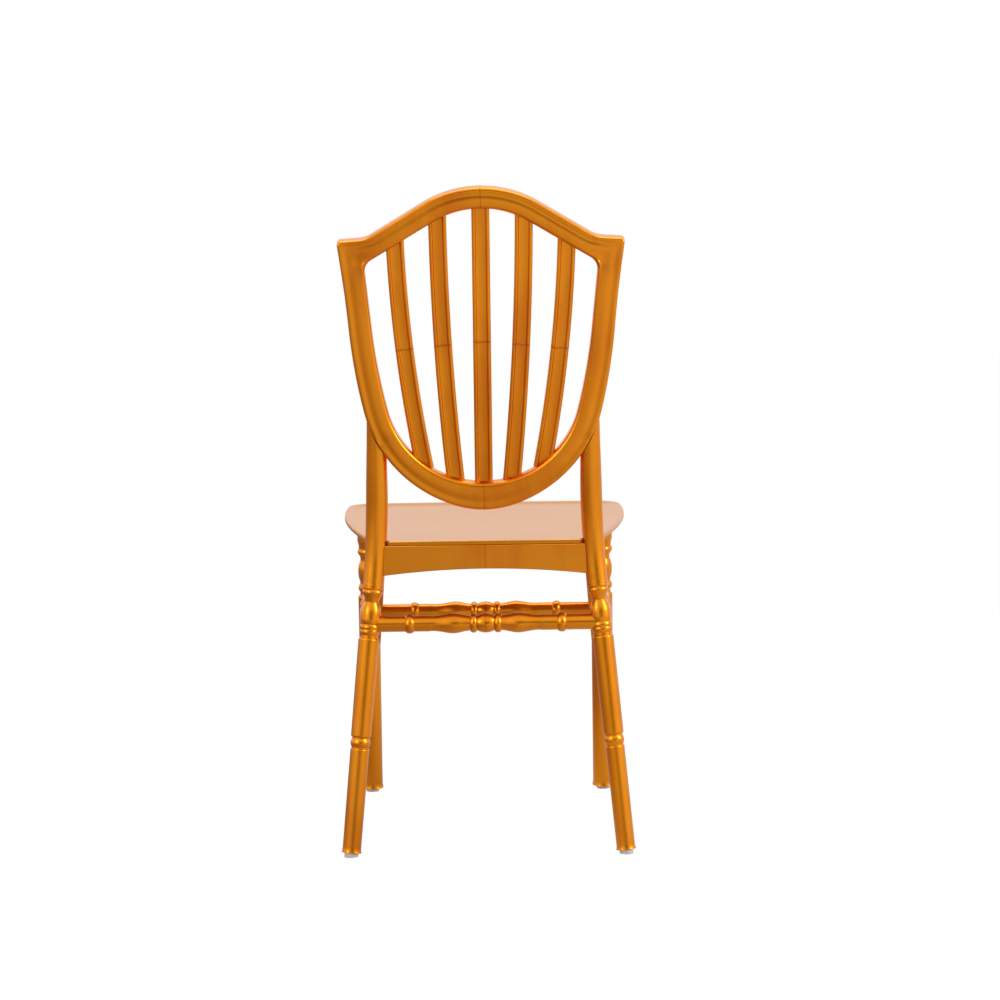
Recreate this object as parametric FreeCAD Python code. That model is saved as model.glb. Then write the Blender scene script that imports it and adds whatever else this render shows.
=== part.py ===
import FreeCAD
import Part
import math
import os

from FreeCAD import Vector

os.makedirs("parts", exist_ok=True)

# A chiavari dining chair of moulded resin: a shield shaped back with five spindles, turned
# legs and stretchers, and a thin dished seat. The front of the chair faces -Y, the ground is
# Z = 0 and the origin is the middle of the chair's footprint. "Left" is the sitter's left, +X.
# Sizes are in millimetres and degrees.

# Whole chair
overall_height = 920.0
seat_top_z = 432.0
seat_depth = 402.0
seat_rear_overhang = 10.0
back_lean = 8.0

# Joints
fit_gap = 0.15
socket_end_gap = 0.5
round_tenon_stop = 3.0
round_tenon_radius = 6.0
flat_tenon_stop = 6.0
flat_tenon_thickness = 8.0
flat_tenon_height = 24.0

# Rear legs: a straight turned leg up to the knee, then a leaning oval column
knee_z = 440.0
knee_x = 147.3
rear_foot_x = 189.6
rear_foot_setback = 45.5
rear_top_x = 145.5
rear_top_z = 599.0
knee_tangent = 65.0
seat_level_half_width = 15.0
seat_level_half_depth = 13.8
column_top_half_width = 13.2
column_top_half_depth = 10.5
swell_z = 485.0
peg_in_leg = 70.0
peg_in_frame = 12.0

# Front legs: a turned column with a flat web on its inner side
front_foot_x = 172.0
front_top_x = 172.0
front_top_inset = 32.0
front_foot_splay = 23.0
web_thickness = 20.0
web_bottom_z = 226.0
web_top_x = 141.0
web_bottom_x = 156.3
front_leg_top_radius = 16.0

# Feet
foot_gap = 5.5
rear_foot_radius = 13.2
front_foot_radius = 15.6
glide_radius = 9.5
glide_stem_radius = 4.0
glide_stem_length = 16.0

# Shield frame of the back, in its own leaning plane. The shares are of the height between
# the hoop and the horn, or between the inside's bottom and its crown.
frame_depth = 24.0
rail_width = 28.7
crown_radius = 152.0
shoulder_angle = 31.2
shoulder_length = 80.0
horn_sweep_radius = 40.0
horn_angle = 3.4
horn_tip_radius = 5.0
hoop_bottom_rise = 36.9
hoop_bottom_width = 37.2
hoop_bottom_radius = 127.5
hoop_bottom_angle = 18.6
hoop_flank_radius = 185.0
hoop_flank_angle = 76.9
stile_radius_share = 3.3617
stile_angle = 85.0
stile_length_share = 0.0817
stile_flare_share = 5.5396
stile_top_angle = 82.3
inner_bottom_radius = 132.6
inner_bottom_angle = 76.0
inner_flank_share = 3.08
inner_stile_angle = 84.4
inner_corner_radius = 18.0
outer_edge_round = 3.5
inner_edge_round = 6.0

# Spindles, each an arc through three heights of the leaning plane
spindle_width = 24.4
spindle_front = -10.0
spindle_back = 5.0
channel_width = 12.6
channel_depth = 5.0
spindle_rim_round = 2.4
spindle_tenon_width = 14.0
spindle_tenon_thickness = 8.0
spindle_tenon_length = 9.0
spindle_low_rise = 95.0
spindle_mid_rise = 244.0
spindle_high_rise = 406.0
outer_spindle_low_x = 80.5
outer_spindle_mid_x = 103.3
outer_spindle_high_x = 115.4

# Seat panel: a plate with a rim, a sloping border inside it and a dished field. Each side
# arc is a radius, as a share of the seat's depth, and the direction in which it ends.
seat_plate = 6.0
seat_edge_round = 2.2
seat_under_round = 1.0
seat_rear_half_width = 143.0
seat_rear_corner_radius = 12.0
seat_rear_corner_angle = 73.0
seat_side_arcs = [(2.8109, 84.9), (1.7811, 93.6)]
seat_front_corner_radius = 35.0
seat_front_radius = 5200.0
seat_front_angle = 1.6
hollow_rear_corner_radius = 24.0
seat_rim_width = 7.0
seat_border_width = 14.0
seat_border_drop = 2.0
seat_dish_depth = 1.0
seat_dish_radius = 140.0
seat_notch_gap = 1.0
seat_notch_width = 80.0
seat_rib_thickness = 3.0
seat_rib_height = 5.0
seat_rib_rows = 3
seat_rib_inset = 16.0
seat_boss_radius = 8.0
seat_boss_height = 5.0

# Aprons under the seat
apron_thickness = 16.0
rear_apron_low_z = 383.3
front_apron_low_z = 388.0
apron_arch = 9.8
apron_edge_round = 1.6

# Stretchers between the legs
rear_stretcher_z = 318.0
front_stretcher_z = 272.8
side_stretcher_z = 296.0
stretcher_radius = 10.7
ring_radius = 13.4
ring_half_width = 6.0
ring_offset = 104.5
inner_ring_offset = 16.8
inner_ring_half_width = 5.0
barrel_radius = 13.3
neck_radius = 10.1
vase_offset = 43.0
vase_radius = 13.8
vase_end = 78.0
vase_shoulder_share = 0.4

# Corner blocks and their screws
block_height = 14.0
block_inset = 14.0
block_width = 26.0
block_web_gap = 8.0
screw_radius = 2.0
screw_head_radius = 4.0
screw_head_height = 2.6
screw_head_gap = 0.6
screw_bite = 11.0
screw_grip = 7.0
seat_screw_bite = 7.5

# How far cutting tools run past what they cut: well clear of it, or just past a face
cut_reach = 60.0
cut_margin = 1.0

# How near two lengths have to be to count as the same
same_length = 0.01

# Turning of the legs: (height along the axis, radius, bulge of the arc that leads there).
# A bulge of 0 is a straight line, a positive one a bead and a negative one a hollow.
rear_leg_turning = [
    (6.2, 13.7, 0.2),
    (13.0, 12.8, -0.3),
    (147.6, 13.1, 0.0),
    (149.6, 12.0, 0.4),
    (151.6, 12.0, 0.0),
    (163.6, 12.0, 1.7),
    (165.4, 12.0, 0.0),
    (168.0, 13.9, 0.6),
    (299.6, 14.4, 0.0),
    (302.6, 12.3, 0.7),
    (306.4, 12.3, 0.0),
    (314.0, 13.2, 0.9),
    (321.4, 12.7, 1.0),
    (331.5, 13.9, 0.5),
    (351.6, 9.4, 1.5),
    (352.4, 9.4, 0.0),
    (362.4, 13.2, -0.5),
    (369.0, 13.2, 1.2),
    (370.4, 13.4, 0.0),
    (371.4, 14.4, 0.2),
    (373.2, 14.4, 0.0),
    (374.2, 14.4, -0.5),
]
front_leg_turning = [
    (6.2, 16.2, 0.2),
    (13.0, 15.0, -0.3),
    (294.4, 15.8, 0.0),
    (299.6, 13.0, 1.2),
    (304.6, 13.0, -0.3),
    (316.0, 13.0, 2.3),
    (320.6, 12.9, -0.4),
    (335.4, 15.2, 0.9),
    (350.4, 12.0, 0.9),
    (359.6, 13.4, -0.9),
    (369.4, 13.8, 2.1),
    (380.4, 15.6, -0.5),
]

# Directions and places worked out from the sizes
up = Vector(0, 0, 1)
lean = math.radians(back_lean)
plate_bottom_z = seat_top_z - seat_plate
edge_centre_y = frame_depth / 2 - outer_edge_round
edge_rise = overall_height - knee_z - outer_edge_round - edge_centre_y * math.sin(lean)
edge_centre_z = edge_rise / math.cos(lean)
crown_z = edge_centre_z + outer_edge_round
rear_reach = edge_centre_z * math.sin(lean) + edge_centre_y * math.cos(lean) + outer_edge_round
front_top_offset = seat_depth - seat_rear_overhang - front_top_inset
front_foot_offset = front_top_offset + front_foot_splay
front_lean = math.atan2(front_foot_splay, plate_bottom_z)
foot_edge_height, foot_edge_radius, _ = front_leg_turning[0]
front_reach = front_foot_offset + foot_edge_radius * math.cos(front_lean)
front_reach -= foot_edge_height * math.sin(front_lean)
knee_y = (front_reach - rear_reach) / 2
seat_rear_y = knee_y + seat_rear_overhang
seat_front_y = seat_rear_y - seat_depth


def moved(shape, place, rotation):
    """Copy of a shape, turned about the origin and then moved, on from where it is."""
    copy = shape.copy()
    copy.Placement = FreeCAD.Placement(place, rotation).multiply(shape.Placement)
    return copy


def along(shape, start, direction):
    """Turn a shape that was made along +Z from the origin, so that it runs from start."""
    return moved(shape, start, FreeCAD.Rotation(up, direction))


def mirrored(shape):
    """The same shape on the other side of the chair."""
    return shape.mirror(Vector(0, 0, 0), Vector(1, 0, 0))


def turning(start_height, start_radius, steps, grow=0.0):
    """Solid of revolution about Z from a list of (height, radius, bulge) steps."""
    bottom = Vector(start_radius + grow, 0, start_height)
    edges = [Part.LineSegment(Vector(0, 0, start_height), bottom).toShape()]
    here = bottom
    for height, radius, bulge in steps:
        there = Vector(radius + grow, 0, height)
        if bulge == 0.0:
            edges.append(Part.LineSegment(here, there).toShape())
        else:
            chord = there - here
            side = Vector(chord.z, 0, -chord.x).normalize()
            middle = (here + there) * 0.5 + side * bulge
            edges.append(Part.Arc(here, middle, there).toShape())
        here = there
    centre_top = Vector(0, 0, here.z)
    edges.append(Part.LineSegment(here, centre_top).toShape())
    edges.append(Part.LineSegment(centre_top, Vector(0, 0, start_height)).toShape())
    face = Part.Face(Part.Wire(edges))
    return face.revolve(Vector(0, 0, 0), up, 360)


def rod(start, end, radius):
    """Plain round bar between two points."""
    direction = end - start
    return Part.makeCylinder(radius, direction.Length, start, direction)


def level_block(middle, low_z, high_z):
    """Block between two heights, wide enough to cut right across a leg."""
    corner = Vector(middle.x - cut_reach, middle.y - cut_reach, low_z)
    return Part.makeBox(2 * cut_reach, 2 * cut_reach, high_z - low_z, corner)


# Axes of the legs

rear_foot = Vector(rear_foot_x, knee_y + rear_foot_setback, 0)
knee = Vector(knee_x, knee_y, knee_z)
rear_top_y = knee_y + (rear_top_z - knee_z) * math.tan(lean)
rear_top = Vector(rear_top_x, rear_top_y, rear_top_z)
lower_direction = (knee - rear_foot).normalize()
upper_direction = (rear_top - knee).normalize()
bend_start = knee - lower_direction * knee_tangent
bend_end = knee + upper_direction * knee_tangent
bend_angle = lower_direction.getAngle(upper_direction)
bend_radius = knee_tangent / math.tan(bend_angle / 2)
bend_inward = (upper_direction - lower_direction).normalize()
bend_centre = knee + bend_inward * (bend_radius / math.cos(bend_angle / 2))
front_foot = Vector(front_foot_x, knee_y - front_foot_offset, 0)
front_top = Vector(front_top_x, knee_y - front_top_offset, plate_bottom_z)
front_direction = (front_top - front_foot).normalize()


def on_line(start, end, height):
    """Point of a leg's straight axis at a height above the ground."""
    return start + (end - start) * ((height - start.z) / (end.z - start.z))


def bend_point(turn):
    """Point and direction of the knee's arc after turning by an angle in radians."""
    out = (bend_start - bend_centre).normalize()
    spoke = out * math.cos(turn) + lower_direction * math.sin(turn)
    direction = lower_direction * math.cos(turn) - out * math.sin(turn)
    return bend_centre + spoke * bend_radius, direction


def rear_axis(height):
    """Point of a rear leg's axis at a height, through the bend at the knee."""
    if height <= bend_start.z:
        return on_line(rear_foot, knee, height)
    if height >= bend_end.z:
        return on_line(knee, rear_top, height)
    low = 0.0
    high = bend_angle
    halvings = 40
    for _ in range(halvings):
        middle = (low + high) / 2
        if bend_point(middle)[0].z < height:
            low = middle
        else:
            high = middle
    return bend_point(low)[0]


def front_axis(height):
    """Point of a front leg's axis at a height."""
    return on_line(front_foot, front_top, height)


# Rear legs

def oval(centre, direction, half_width, half_depth):
    """Oval wire square to a direction, its width lying as near to X as it can."""
    across = (Vector(1, 0, 0) - direction * direction.x).normalize()
    deep = direction.cross(across)
    matrix = FreeCAD.Matrix(
        across.x * half_width, deep.x * half_depth, direction.x, centre.x,
        across.y * half_width, deep.y * half_depth, direction.y, centre.y,
        across.z * half_width, deep.z * half_depth, direction.z, centre.z,
        0, 0, 0, 1)
    return Part.Wire([Part.makeCircle(1.0).transformGeometry(matrix)])


def column_halves(height, grow):
    """Half width and half depth of a rear leg's column: it swells, then tapers."""
    collar = rear_leg_turning[-1][1]
    if height < swell_z:
        share = (height - bend_start.z) / (swell_z - bend_start.z)
        low = (collar, collar)
        high = (seat_level_half_width, seat_level_half_depth)
    else:
        share = (height - swell_z) / (rear_top_z - swell_z)
        low = (seat_level_half_width, seat_level_half_depth)
        high = (column_top_half_width, column_top_half_depth)
    ease = (1 - math.cos(math.pi * share)) / 2
    width = low[0] + (high[0] - low[0]) * ease
    depth = low[1] + (high[1] - low[1]) * ease
    return width + grow, depth + grow


def rear_column(grow=0.0):
    """Oval column of a rear leg from the knee's arc up to the shield frame."""
    places = []
    bend_steps = 5
    for step in range(bend_steps + 1):
        places.append(bend_point(bend_angle * step / bend_steps))
    straight_steps = 4
    for step in range(1, straight_steps + 1):
        share = step / straight_steps
        places.append((bend_end + (rear_top - bend_end) * share, upper_direction))
    wires = []
    for centre, direction in places:
        half_width, half_depth = column_halves(centre.z, grow)
        wires.append(oval(centre, direction, half_width, half_depth))
    return Part.makeLoft(wires, True, False)


def rear_leg_body(grow=0.0):
    """A left rear leg without its sockets."""
    bend_height = (bend_start - rear_foot).Length
    steps = list(rear_leg_turning)
    steps.append((bend_height, rear_leg_turning[-1][1], 0.0))
    lower = turning(foot_gap, rear_foot_radius, steps, grow)
    return along(lower, rear_foot, lower_direction).fuse(rear_column(grow))


# Front legs

def front_leg_web(grow=0.0):
    """Flat tapered web on the inner side of a front leg, as thick as web_thickness."""
    top_z = plate_bottom_z
    half = web_thickness / 2 + grow
    corners = [
        Vector(web_bottom_x - grow, 0, web_bottom_z - grow),
        Vector(web_top_x - grow, 0, top_z),
        Vector(front_top_x, 0, top_z),
        Vector(front_foot_x, 0, web_bottom_z - grow)]
    face = Part.Face(Part.makePolygon(corners + [corners[0]]))
    slope = front_foot_splay / front_top.z
    web = face.extrude(Vector(0, 2 * half, 0))
    web.translate(Vector(0, front_foot.y - half, 0))
    shear = FreeCAD.Matrix(1, 0, 0, 0, 0, 1, slope, 0, 0, 0, 1, 0, 0, 0, 0, 1)
    return web.transformGeometry(shear)


def front_leg_body(grow=0.0):
    """A left front leg without its sockets."""
    top_height = (front_top - front_foot).Length + front_leg_top_radius * math.tan(front_lean)
    steps = list(front_leg_turning)
    steps.append((top_height, front_leg_top_radius, 0.0))
    column = turning(foot_gap, front_foot_radius, steps, grow)
    column = along(column, front_foot, front_direction)
    above = level_block(front_top, front_top.z, front_top.z + cut_reach)
    return column.cut(above).fuse(front_leg_web(grow)).removeSplitter()


# Glides under the legs

def glide(foot, direction):
    """Flat glide square to its leg on top and level with the ground below."""
    start = foot - direction * foot_gap
    disc = Part.makeCylinder(glide_radius, 2 * foot_gap, start, direction)
    seat_point = foot + direction * foot_gap
    stem = Part.makeCylinder(glide_stem_radius, glide_stem_length, seat_point, direction)
    return disc.cut(level_block(foot, -cut_reach, 0)).fuse(stem)


def glide_socket(foot, direction):
    """Hole in the leg's end for the stem of a glide."""
    seat_point = foot + direction * (foot_gap - cut_margin)
    length = glide_stem_length + socket_end_gap + cut_margin
    return Part.makeCylinder(glide_stem_radius + fit_gap, length, seat_point, direction)


# Shield frame: outlines are drawn in the plane Y = 0 with X across and Z up the lean

class Path:
    """Pen that draws straight lines and arcs which follow on smoothly."""

    def __init__(self, x, z, heading):
        self.x = x
        self.z = z
        self.heading = math.radians(heading)
        self.edges = []

    def point(self):
        return Vector(self.x, 0, self.z)

    def direction(self):
        return Vector(math.cos(self.heading), 0, math.sin(self.heading))

    def forward(self, length):
        start = self.point()
        self.x += length * math.cos(self.heading)
        self.z += length * math.sin(self.heading)
        self.edges.append(Part.LineSegment(start, self.point()).toShape())

    def turn_to(self, radius, heading):
        """Arc of a radius until the pen points the new way, to the left or right."""
        start = self.point()
        goal = math.radians(heading)
        side = 1 if goal > self.heading else -1
        centre_x = self.x - side * radius * math.sin(self.heading)
        centre_z = self.z + side * radius * math.cos(self.heading)
        middle_heading = (self.heading + goal) / 2
        middle = Vector(centre_x + side * radius * math.sin(middle_heading), 0,
                        centre_z - side * radius * math.cos(middle_heading))
        self.x = centre_x + side * radius * math.sin(goal)
        self.z = centre_z - side * radius * math.cos(goal)
        self.heading = goal
        self.edges.append(Part.Arc(start, middle, self.point()).toShape())


def joined(lower, upper, corner_radius):
    """Half outline from a lower and an upper pen, whose lines meet in a rounded corner."""
    p = lower.point()
    d = lower.direction()
    q = upper.point()
    e = upper.direction()
    cross = d.x * e.z - d.z * e.x
    reach = ((q.x - p.x) * e.z - (q.z - p.z) * e.x) / cross
    corner = p + d * reach
    trim = corner_radius / math.tan(d.getAngle(e) / 2)
    start = corner - d * trim
    end = corner - e * trim
    bisector = (start + end) * 0.5 - corner
    centre_distance = math.sqrt(trim ** 2 + corner_radius ** 2)
    middle = corner + bisector.normalize() * (centre_distance - corner_radius)
    return lower.edges + upper.edges + [
        Part.LineSegment(p, start).toShape(),
        Part.Arc(start, middle, end).toShape(),
        Part.LineSegment(end, q).toShape()]


def full_face(half_edges):
    """Closed face from the right half of an outline and its mirror image."""
    edges = half_edges + [mirrored(edge) for edge in half_edges]
    return Part.Face(Part.Wire(Part.__sortEdges__(edges)))


def outer_outline():
    """Outside of the shield: hoop, stiles, horns and crown."""
    lower = Path(0, hoop_bottom_rise, 0)
    lower.turn_to(hoop_bottom_radius, hoop_bottom_angle)
    lower.turn_to(hoop_flank_radius, hoop_flank_angle)
    upper = Path(0, crown_z, 0)
    upper.turn_to(crown_radius, -shoulder_angle)
    upper.forward(shoulder_length)
    upper.turn_to(horn_sweep_radius, -horn_angle)
    rise = upper.z - lower.z
    lower.turn_to(stile_radius_share * rise, stile_angle)
    lower.forward(stile_length_share * rise)
    lower.turn_to(stile_flare_share * rise, stile_top_angle)
    return full_face(joined(lower, upper, horn_tip_radius))


def inner_outline():
    """Inside of the shield, which the spindles cross."""
    lower = Path(0, hoop_bottom_rise + hoop_bottom_width, 0)
    lower.turn_to(inner_bottom_radius, inner_bottom_angle)
    upper = Path(0, crown_z - rail_width, 0)
    upper.turn_to(crown_radius - rail_width, -shoulder_angle)
    lower.turn_to(inner_flank_share * (upper.z - lower.z), inner_stile_angle)
    return full_face(joined(lower, upper, inner_corner_radius))


def leaned(shape):
    """Put a shape from the shield's own plane onto the chair."""
    turn = FreeCAD.Rotation(Vector(1, 0, 0), -back_lean)
    return moved(shape, Vector(0, knee_y, knee_z), turn)


def slab(face, front, back):
    """Plate from a face in the plane Y = 0, between two depths."""
    plate = face.extrude(Vector(0, back - front, 0))
    plate.translate(Vector(0, front, 0))
    return plate


def edges_on(plate, wire, depth):
    """Edges of a plate's two faces, a depth either side of its middle, that follow a wire."""
    found = []
    for edge in plate.Edges:
        middle = edge.valueAt((edge.FirstParameter + edge.LastParameter) / 2)
        if edge.BoundBox.YLength > same_length or abs(abs(middle.y) - depth) > same_length:
            continue
        mark = Part.Vertex(Vector(middle.x, 0, middle.z))
        if mark.distToShape(wire)[0] < same_length:
            found.append(edge)
    return found


def rounded_ring(outer, inner):
    """Shield frame with rounded outer and inner edges, still in its own plane."""
    half = frame_depth / 2
    ring = slab(outer.cut(inner).Faces[0], -half, half)
    ring = ring.makeFillet(inner_edge_round, edges_on(ring, inner.OuterWire, half))
    return ring.makeFillet(outer_edge_round, edges_on(ring, outer.OuterWire, half))


# Spindles

def spline_arc(start, middle, end):
    """Arc held as a spline, so that the rounds that follow it become spline surfaces."""
    return Part.Arc(start, middle, end).toShape().toNurbs().Edges[0]


def spindle_strip(share, half_width, low, high):
    """Face of a bent strip: share scales the outer spindle's bow towards the centre."""
    if share == 0:
        corners = [Vector(-half_width, 0, low), Vector(half_width, 0, low),
                   Vector(half_width, 0, high), Vector(-half_width, 0, high)]
        return Part.Face(Part.makePolygon(corners + [corners[0]]))
    guide = Part.Arc(Vector(share * outer_spindle_low_x, 0, spindle_low_rise),
                     Vector(share * outer_spindle_mid_x, 0, spindle_mid_rise),
                     Vector(share * outer_spindle_high_x, 0, spindle_high_rise)).toShape()
    centre = guide.Curve.Center
    radius = guide.Curve.Radius
    side = 1 if share > 0 else -1

    def at(reach, height):
        rise = height - centre.z
        run = math.sqrt(radius ** 2 - rise ** 2)
        spoke = Vector(side * run, 0, rise).normalize()
        return centre + spoke * reach

    middle = (low + high) / 2
    near = radius - half_width
    far = radius + half_width
    edges = [
        spline_arc(at(far, low), at(far, middle), at(far, high)),
        Part.LineSegment(at(far, high), at(near, high)).toShape(),
        spline_arc(at(near, high), at(near, middle), at(near, low)),
        Part.LineSegment(at(near, low), at(far, low)).toShape()]
    return Part.Face(Part.Wire(edges))


def spindle_ends(share, opening):
    """Heights at which the middle line of a spindle leaves the opening of the shield."""
    low = hoop_bottom_rise + hoop_bottom_width / 2
    high = crown_z - rail_width / 2
    thread = spindle_strip(share, cut_margin / 2, low, high)
    heights = [vertex.Z for vertex in thread.common(opening).Vertexes]
    return min(heights), max(heights)


def spindle_bar(share, opening):
    """Body of a spindle with the channel in its back face, inside the opening."""
    low, high = spindle_ends(share, opening)
    reach = spindle_width
    bar = slab(spindle_strip(share, spindle_width / 2, low - reach, high + reach),
               spindle_front, spindle_back)
    floor = spindle_back - channel_depth
    groove = slab(spindle_strip(share, channel_width / 2, low - 2 * reach, high + 2 * reach),
                  floor, spindle_back + cut_margin)
    bar = bar.cut(groove)
    rims = []
    for edge in bar.Edges:
        middle = edge.valueAt((edge.FirstParameter + edge.LastParameter) / 2)
        along_bar = edge.Length > (high - low) / 2
        on_face = min(abs(middle.y - spindle_back), abs(middle.y - spindle_front)) < same_length
        if along_bar and on_face:
            rims.append(edge)
    bar = bar.makeFillet(spindle_rim_round, rims)
    return bar.common(slab(opening, spindle_front - cut_margin, spindle_back + cut_margin))


def spindle_tenon(share, opening, grow, end_gap):
    """Tongue that runs through a spindle into its two sockets."""
    low, high = spindle_ends(share, opening)
    reach = spindle_tenon_length + end_gap
    middle = (spindle_front + spindle_back - channel_depth) / 2
    half = spindle_tenon_thickness / 2 + grow
    face = spindle_strip(share, spindle_tenon_width / 2 + grow, low - reach, high + reach)
    return slab(face, middle - half, middle + half)


# Aprons and stretchers

def placed_between(shape, start, end):
    """Move a bar that was made along +X from the origin, so that it runs from start."""
    span = end - start
    turn = math.degrees(math.atan2(span.y, span.x))
    return moved(shape, Vector(start.x, start.y, 0), FreeCAD.Rotation(up, turn))


def apron_bar(start, end, low_z):
    """Apron from one leg's axis to another, with an arched lower edge."""
    length = Vector(end.x - start.x, end.y - start.y, 0).Length
    corners = [Vector(0, 0, low_z), Vector(0, 0, plate_bottom_z),
               Vector(length, 0, plate_bottom_z), Vector(length, 0, low_z)]
    edges = [Part.LineSegment(corners[i], corners[i + 1]).toShape() for i in range(3)]
    crest = Vector(length / 2, 0, low_z + apron_arch)
    edges.append(spline_arc(corners[3], crest, corners[0]))
    bar = slab(Part.Face(Part.Wire(edges)), -apron_thickness / 2, apron_thickness / 2)
    long_edges = [edge for edge in bar.Edges if edge.Length > length - same_length]
    bar = bar.makeFillet(apron_edge_round, long_edges)
    return placed_between(bar, start, end)


def flat_tenon(start, end, low_z, grow, end_gap):
    """Flat tongue that runs through an apron into the mortises at its ends."""
    length = Vector(end.x - start.x, end.y - start.y, 0).Length
    inset = flat_tenon_stop - end_gap
    half = flat_tenon_thickness / 2 + grow
    middle_z = (low_z + apron_arch + plate_bottom_z) / 2
    height = flat_tenon_height + 2 * grow
    corner = Vector(inset, -half, middle_z - height / 2)
    tongue = Part.makeBox(length - 2 * inset, 2 * half, height, corner)
    return placed_between(tongue, start, end)


def stretcher_bar(start, end):
    """Turned stretcher from one leg's axis to another, the same on both sides of its middle."""
    half = (end - start).Length / 2
    ring_in = ring_offset - ring_half_width
    ring_out = ring_offset + ring_half_width
    small_in = inner_ring_offset - inner_ring_half_width
    small_out = inner_ring_offset + inner_ring_half_width
    shoulder = vase_offset + (vase_end - vase_offset) * vase_shoulder_share
    rise = Part.BSplineCurve()
    rise.interpolate([
        Vector(neck_radius, 0, small_out),
        Vector((neck_radius + vase_radius) / 2, 0, (small_out + vase_offset) / 2),
        Vector(vase_radius, 0, vase_offset),
        Vector((stretcher_radius + vase_radius) / 2, 0, shoulder),
        Vector(stretcher_radius, 0, vase_end)])

    def arc(a, ra, b, rb, peak):
        middle = Vector(peak, 0, (a + b) / 2)
        return Part.Arc(Vector(ra, 0, a), middle, Vector(rb, 0, b)).toShape()

    def line(a, ra, b, rb):
        return Part.LineSegment(Vector(ra, 0, a), Vector(rb, 0, b)).toShape()

    edges = [
        line(0, 0, 0, barrel_radius),
        Part.Arc(Vector(barrel_radius, 0, 0),
                 Vector(barrel_radius - (barrel_radius - neck_radius) / 4, 0, small_in / 2),
                 Vector(neck_radius, 0, small_in)).toShape(),
        arc(small_in, neck_radius, small_out, neck_radius, ring_radius),
        rise.toShape(),
        line(vase_end, stretcher_radius, ring_in, stretcher_radius),
        arc(ring_in, stretcher_radius, ring_out, stretcher_radius, ring_radius),
        line(ring_out, stretcher_radius, half, stretcher_radius),
        line(half, stretcher_radius, half, 0),
        line(half, 0, 0, 0)]
    profile = Part.Face(Part.Wire(edges))
    one_half = profile.revolve(Vector(0, 0, 0), up, 360)
    other_half = one_half.mirror(Vector(0, 0, 0), up)
    bar = one_half.fuse(other_half).removeSplitter()
    return along(bar, (start + end) * 0.5, end - start)


def round_tenon(start, end, grow, end_gap):
    """Round tongue that runs through a stretcher into the sockets at its ends."""
    direction = (end - start).normalize()
    inset = round_tenon_stop - end_gap
    return rod(start + direction * inset, end - direction * inset, round_tenon_radius + grow)


# Seat panel

def seat_face(rear_corner_radius, inset):
    """Outline of the seat, smaller all round by inset, as a face at Z = 0."""
    side = Path(0, seat_rear_y - inset, 0)
    side.forward(seat_rear_half_width - rear_corner_radius + seat_rear_corner_radius)
    side.turn_to(rear_corner_radius - inset, -seat_rear_corner_angle)
    for radius_share, angle in seat_side_arcs:
        side.turn_to(radius_share * seat_depth - inset, -angle)
    front = Path(0, seat_front_y + inset, 0)
    front.turn_to(seat_front_radius - inset, seat_front_angle)
    upright = full_face(joined(front, side, seat_front_corner_radius - inset))
    upright.rotate(Vector(0, 0, 0), Vector(1, 0, 0), -90)
    return upright


def lifted(face, low_z, high_z):
    """Plate from a level face at Z = 0."""
    plate = face.extrude(Vector(0, 0, high_z - low_z))
    plate.translate(Vector(0, 0, low_z))
    return plate


def level_edges(shape, z):
    """Edges of a shape that lie wholly at one height."""
    found = []
    for edge in shape.Edges:
        box = edge.BoundBox
        if box.ZMin > z - same_length and box.ZMax < z + same_length:
            found.append(edge)
    return found


def notch_outline(grow, z):
    """Rectangle round the left rear leg's corner of the seat, larger all round by grow."""
    inner = knee_x - seat_level_half_width - seat_notch_gap - grow
    outer = inner + seat_notch_width
    front = knee_y - grow
    back = knee_y + cut_reach
    corners = [Vector(inner, front, z), Vector(outer, front, z),
               Vector(outer, back, z), Vector(inner, back, z)]
    return Part.makePolygon(corners + [corners[0]])


def seat_hollow():
    """What is cut out of the seat's top: a sloping border round a flat field, and a dish."""
    floor_z = seat_top_z - seat_border_drop
    field_inset = seat_rim_width + seat_border_width
    brim = seat_face(hollow_rear_corner_radius, seat_rim_width).OuterWire
    floor = seat_face(hollow_rear_corner_radius, field_inset).OuterWire
    brim.translate(up * seat_top_z)
    floor.translate(up * floor_z)
    hollow = Part.makeLoft([floor, brim], True, True)
    kept_floor = notch_outline(field_inset, floor_z)
    kept_brim = notch_outline(seat_rim_width, seat_top_z)
    kept = Part.makeLoft([kept_floor, kept_brim], True, True)
    hollow = hollow.cut([kept, mirrored(kept)])
    middle_y = (seat_front_y + knee_y) / 2
    low = Vector(0, middle_y, floor_z - seat_dish_depth)
    half_way = Vector(seat_dish_radius / 2, middle_y, floor_z - seat_dish_depth * 3 / 4)
    dish_edge = Vector(seat_dish_radius, middle_y, floor_z)
    middle = Vector(0, middle_y, floor_z)
    dish_edges = [
        Part.Arc(low, half_way, dish_edge).toShape(),
        Part.LineSegment(dish_edge, middle).toShape(),
        Part.LineSegment(middle, low).toShape()]
    dish = Part.Face(Part.Wire(dish_edges)).revolve(middle, up, 360)
    return hollow.fuse(dish)


def seat_body(leg_columns, bosses):
    """Seat plate with its hollow top, notched round the rear legs, and what is below it."""
    face = seat_face(seat_rear_corner_radius, 0)
    seat = lifted(face, plate_bottom_z, seat_top_z)
    seat = seat.makeFillet(seat_edge_round, level_edges(seat, seat_top_z))
    seat = seat.makeFillet(seat_under_round, level_edges(seat, plate_bottom_z))
    seat = seat.cut(seat_hollow())
    notch = Part.Face(notch_outline(0, 0)).extrude(up * (seat_top_z + cut_margin))
    seat = seat.cut(leg_columns + [notch, mirrored(notch)])
    return seat.fuse(seat_ribs() + bosses).removeSplitter()


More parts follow.
